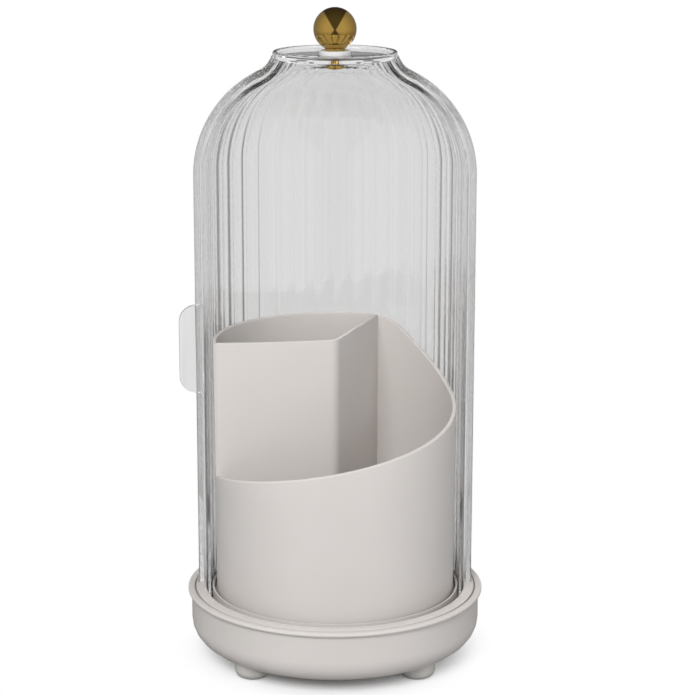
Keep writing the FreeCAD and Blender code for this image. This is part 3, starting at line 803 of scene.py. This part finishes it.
print("the dome turns over its shoulder by", round(math.degrees(turn_angle), 1), "degrees")

# %% [markdown]
# ## Flutes
# Each flute is a shallow arc in plan, bulging outwards, and two of them meet in a sharp
# valley. The outer sheet is spun round first. Then every column of vertices is drawn
# in towards the axis by the share that the arc gives at its angle. Scaling in X and Y
# about the axis does that for a whole column at once.

# %% Flutes
columns_per_flute = 12
flute_pitch = 180.0 / flute_count


def flute_share(turn, valley):
    """Radius across one flute as a share of its crest's; turn runs from 0 to 1."""
    half = math.radians(flute_pitch / 2)
    centre = (1 - valley ** 2) / (2 * (1 - valley * math.cos(half)))
    angle = math.radians(flute_pitch) * (turn - 0.5)
    return centre * math.cos(angle) + math.sqrt((1 - centre) ** 2 - (centre * math.sin(angle)) ** 2)


def shape_flutes(piece, first, depth, radius):
    """Pulls the spun columns in, one share of the flute at a time."""
    shape = bmesh.from_edit_mesh(piece.data)
    for k in range(columns_per_flute):
        share = flute_share(k / columns_per_flute, 1 - depth / radius)
        for vertex in shape.verts:
            angle = (math.degrees(math.atan2(vertex.co.y, vertex.co.x)) - first + 1.0) % 360 - 1.0
            column = round(angle / flute_pitch * columns_per_flute)
            inside = -0.01 < angle < 180.01
            vertex.select_set(inside and column % columns_per_flute == k)
        shape.select_flush_mode()
        bmesh.update_edit_mesh(piece.data)
        bpy.ops.transform.resize(value=(share, share, 1), center_override=(0, 0, 0))


def bridge_walls():
    """Joins the open borders of an outer and an inner sheet."""
    bpy.ops.mesh.select_mode(type="EDGE")
    bpy.ops.mesh.select_all(action="DESELECT")
    bpy.ops.mesh.select_non_manifold(use_multi_face=False, use_non_contiguous=False, use_verts=False)
    bpy.ops.mesh.bridge_edge_loops()
    bpy.ops.mesh.select_mode(type="VERT")


print("crest and valley shares:", 1.0, round(flute_share(0, 1 - dome_flute_depth / dome_radius), 4))

# %% [markdown]
# ## The fixed back half of the dome
# An outer fluted sheet and an inner smooth one are spun with the same columns and
# rows, so their borders can be bridged into one closed wall. The round top with its
# raised rim is spun on its own and joined to it.

# %% Dome shell
shell_bottom = dome_low.z
dome = start_piece("dome_back_shell")
draw([at(r, z) for r, z in shell_path(0, shell_bottom, neck_top)])
spin(180, flute_count * columns_per_flute)
shape_flutes(dome, 0.0, dome_flute_depth, dome_radius)
draw([at(r, z) for r, z in shell_path(dome_wall, shell_bottom, neck_top)])
spin(180, flute_count * columns_per_flute)
bridge_walls()
close_piece(dome, 25.0)
lid = lathe("dome_lid", [
    (screw_bore, disc_bottom),
    (neck_radius, disc_bottom, 0.4),
    (neck_radius, dome_high.z, 0.7),
    (neck_radius - 2.0, dome_high.z, 0.7),
    (neck_radius - 2.0, disc_top),
    (screw_bore, disc_top),
], steps=160)
combine(dome, lid, "UNION")
smooth(dome, 25.0)
dress(dome, clear_plastic, "cover", "clear_plastic", "dome_shell")
frost_edges(dome, 0, 180)

# %% [markdown]
# ## The door
# The door is the same kind of half shell, a few millimetres smaller, with a plain strip
# along each upright edge. Its top is a half disc with a round ear that turns on the bush
# under the knob. The path goes on over the top to the axis, so the half disc is spun in
# one go with the walls.

# %% Door shell
door_first = -1.0
plain_edge = 1.5
lip_edge = 3.5
door_disc_bottom = door_high.z - door_disc
bush_radius = 3.32


def door_sheet(offset, top):
    """One sheet of the door: its path is carried over the top to the axis and spun."""
    path = shell_path(offset, door_low.z, top) + [(0.0, top)]
    draw([at(r, z, door_first) for r, z in path])
    spin(plain_edge, 2)
    spin(180, flute_count * columns_per_flute)
    spin(lip_edge, 3)


door = start_piece("door_front_shell")
door_sheet(door_offset, door_high.z)
shape_flutes(door, door_first + plain_edge, door_flute_depth, door_radius)
door_sheet(door_offset + door_wall, door_disc_bottom)
bridge_walls()
close_piece(door, 25.0)
ear = lathe("door_ear", [
    (0, door_disc_bottom), (7.3, door_disc_bottom, 0.3), (7.3, door_high.z, 0.3), (0, door_high.z),
], steps=64)
combine(door, ear, "UNION")
bore = lathe("door_bore", [
    (0, door_disc_bottom - 1), (bush_radius + 0.06, door_disc_bottom - 1),
    (bush_radius + 0.06, door_high.z + 1), (0, door_high.z + 1),
], steps=64)
combine(door, bore, "DIFFERENCE")
smooth(door, 25.0)
dress(door, clear_plastic, "door", "clear_plastic", "door_shell")
frost_edges(door, door_first, door_first + plain_edge + 180 + lip_edge)

# %% [markdown]
# ## The door's handle
# A flat clear fin with two large round corners stands out from the door's edge, on a
# thin pad that is bonded to the shell. Its outline is drawn upright, filled, thickened
# and softened along its edges.

# %% Door handle
handle_low, handle_high = span("door_handle")
handle_angle = 181.5
handle_reach = door_radius + 11.4
handle = start_piece("door_fin")
fin = rounded([
    (61.4, handle_low.z),
    (handle_reach, handle_low.z, 8.0),
    (handle_reach, handle_high.z, 8.0),
    (61.4, handle_high.z),
], 10)
draw([at(r, z, handle_angle) for r, z in fin + fin[:1]])
bpy.ops.mesh.select_all(action="SELECT")
bpy.ops.mesh.remove_doubles(threshold=0.0005 * MM)
bpy.ops.mesh.edge_face_add()
bpy.ops.object.mode_set(mode="OBJECT")
modify(handle, "SOLIDIFY", thickness=2.4 * MM, offset=0.0)
modify(handle, "BEVEL", width=0.5 * MM, segments=3, limit_method="ANGLE", angle_limit=math.radians(50))
pad = lathe("handle_pad", [
    (60.9, handle_low.z), (61.9, handle_low.z), (61.9, handle_high.z), (60.9, handle_high.z),
], steps=4, sweep=2.9, first=handle_angle - 0.8)
combine(handle, pad, "UNION")
smooth(handle)
dress(handle, clear_plastic, "door", "clear_plastic", "door_handle")

# %% [markdown]
# ## The knob
# A polished ball with a small flat underneath, on a thin ring and a clear spacer. The
# ball is a sphere cut flat with a bisect.

# %% Knob, ring and spacer
knob_radius = (knob_high.x - knob_low.x) / 2
knob_seat = knob_low.z
bpy.ops.object.select_all(action="DESELECT")
bpy.ops.mesh.primitive_uv_sphere_add(
    segments=96, ring_count=64, radius=knob_radius * MM,
    location=(0, 0, (knob_high.z - knob_radius) * MM))
knob = bpy.context.object
knob.name = "ball_knob"
bpy.ops.object.transform_apply(location=True, rotation=False, scale=False)
bpy.ops.object.mode_set(mode="EDIT")
bpy.ops.mesh.select_all(action="SELECT")
bpy.ops.mesh.bisect(plane_co=(0, 0, knob_seat * MM), plane_no=(0, 0, 1), use_fill=True, clear_inner=True)
bpy.ops.object.mode_set(mode="OBJECT")
smooth(knob, 40.0)
dress(knob, polished_brass, "cover", "knob_brass", "knob")

collar_low, collar_high = span("knob_collar")
collar = lathe("knob_ring", [
    (screw_bore, collar_low.z),
    (collar_high.x, collar_low.z, 0.3),
    (collar_high.x, collar_high.z, 0.3),
    (screw_bore, collar_high.z),
], steps=96)
dress(collar, polished_brass, "cover", "knob_brass", "knob_collar")

boss_low, boss_high = span("knob_boss")
boss = lathe("knob_spacer", [
    (screw_bore, boss_low.z),
    (boss_high.x, boss_low.z),
    (boss_high.x, boss_high.z, 0.7),
    (screw_bore, boss_high.z),
], steps=96)
dress(boss, milky_plastic, "cover", "clear_plastic", "knob_boss")

# %% [markdown]
# ## Pieces kept from the CAD model
# What lies hidden under the cup, and the small screw and bush under the knob, have the
# right shape already. They only get their materials.

# %% Materials of the kept pieces
kept_pieces = {
    greige_abs: ["turntable"],
    bright_steel: ["lower_race", "upper_race", "bearing_balls"],
    zinc_steel: ["pivot_screw"],
    white_nylon: ["ball_cage", "pivot_washer"],
    # the bush's dark grey is painted shade under the top disc
    painted_shade_grey: ["pivot_bush"],
    polished_brass: ["knob_screw"],
}
for material, nodes in kept_pieces.items():
    for node in nodes:
        kept = frame["nodes"][node]
        kept.data.materials.clear()
        kept.data.materials.append(material)
        print(node, "is", material.name)
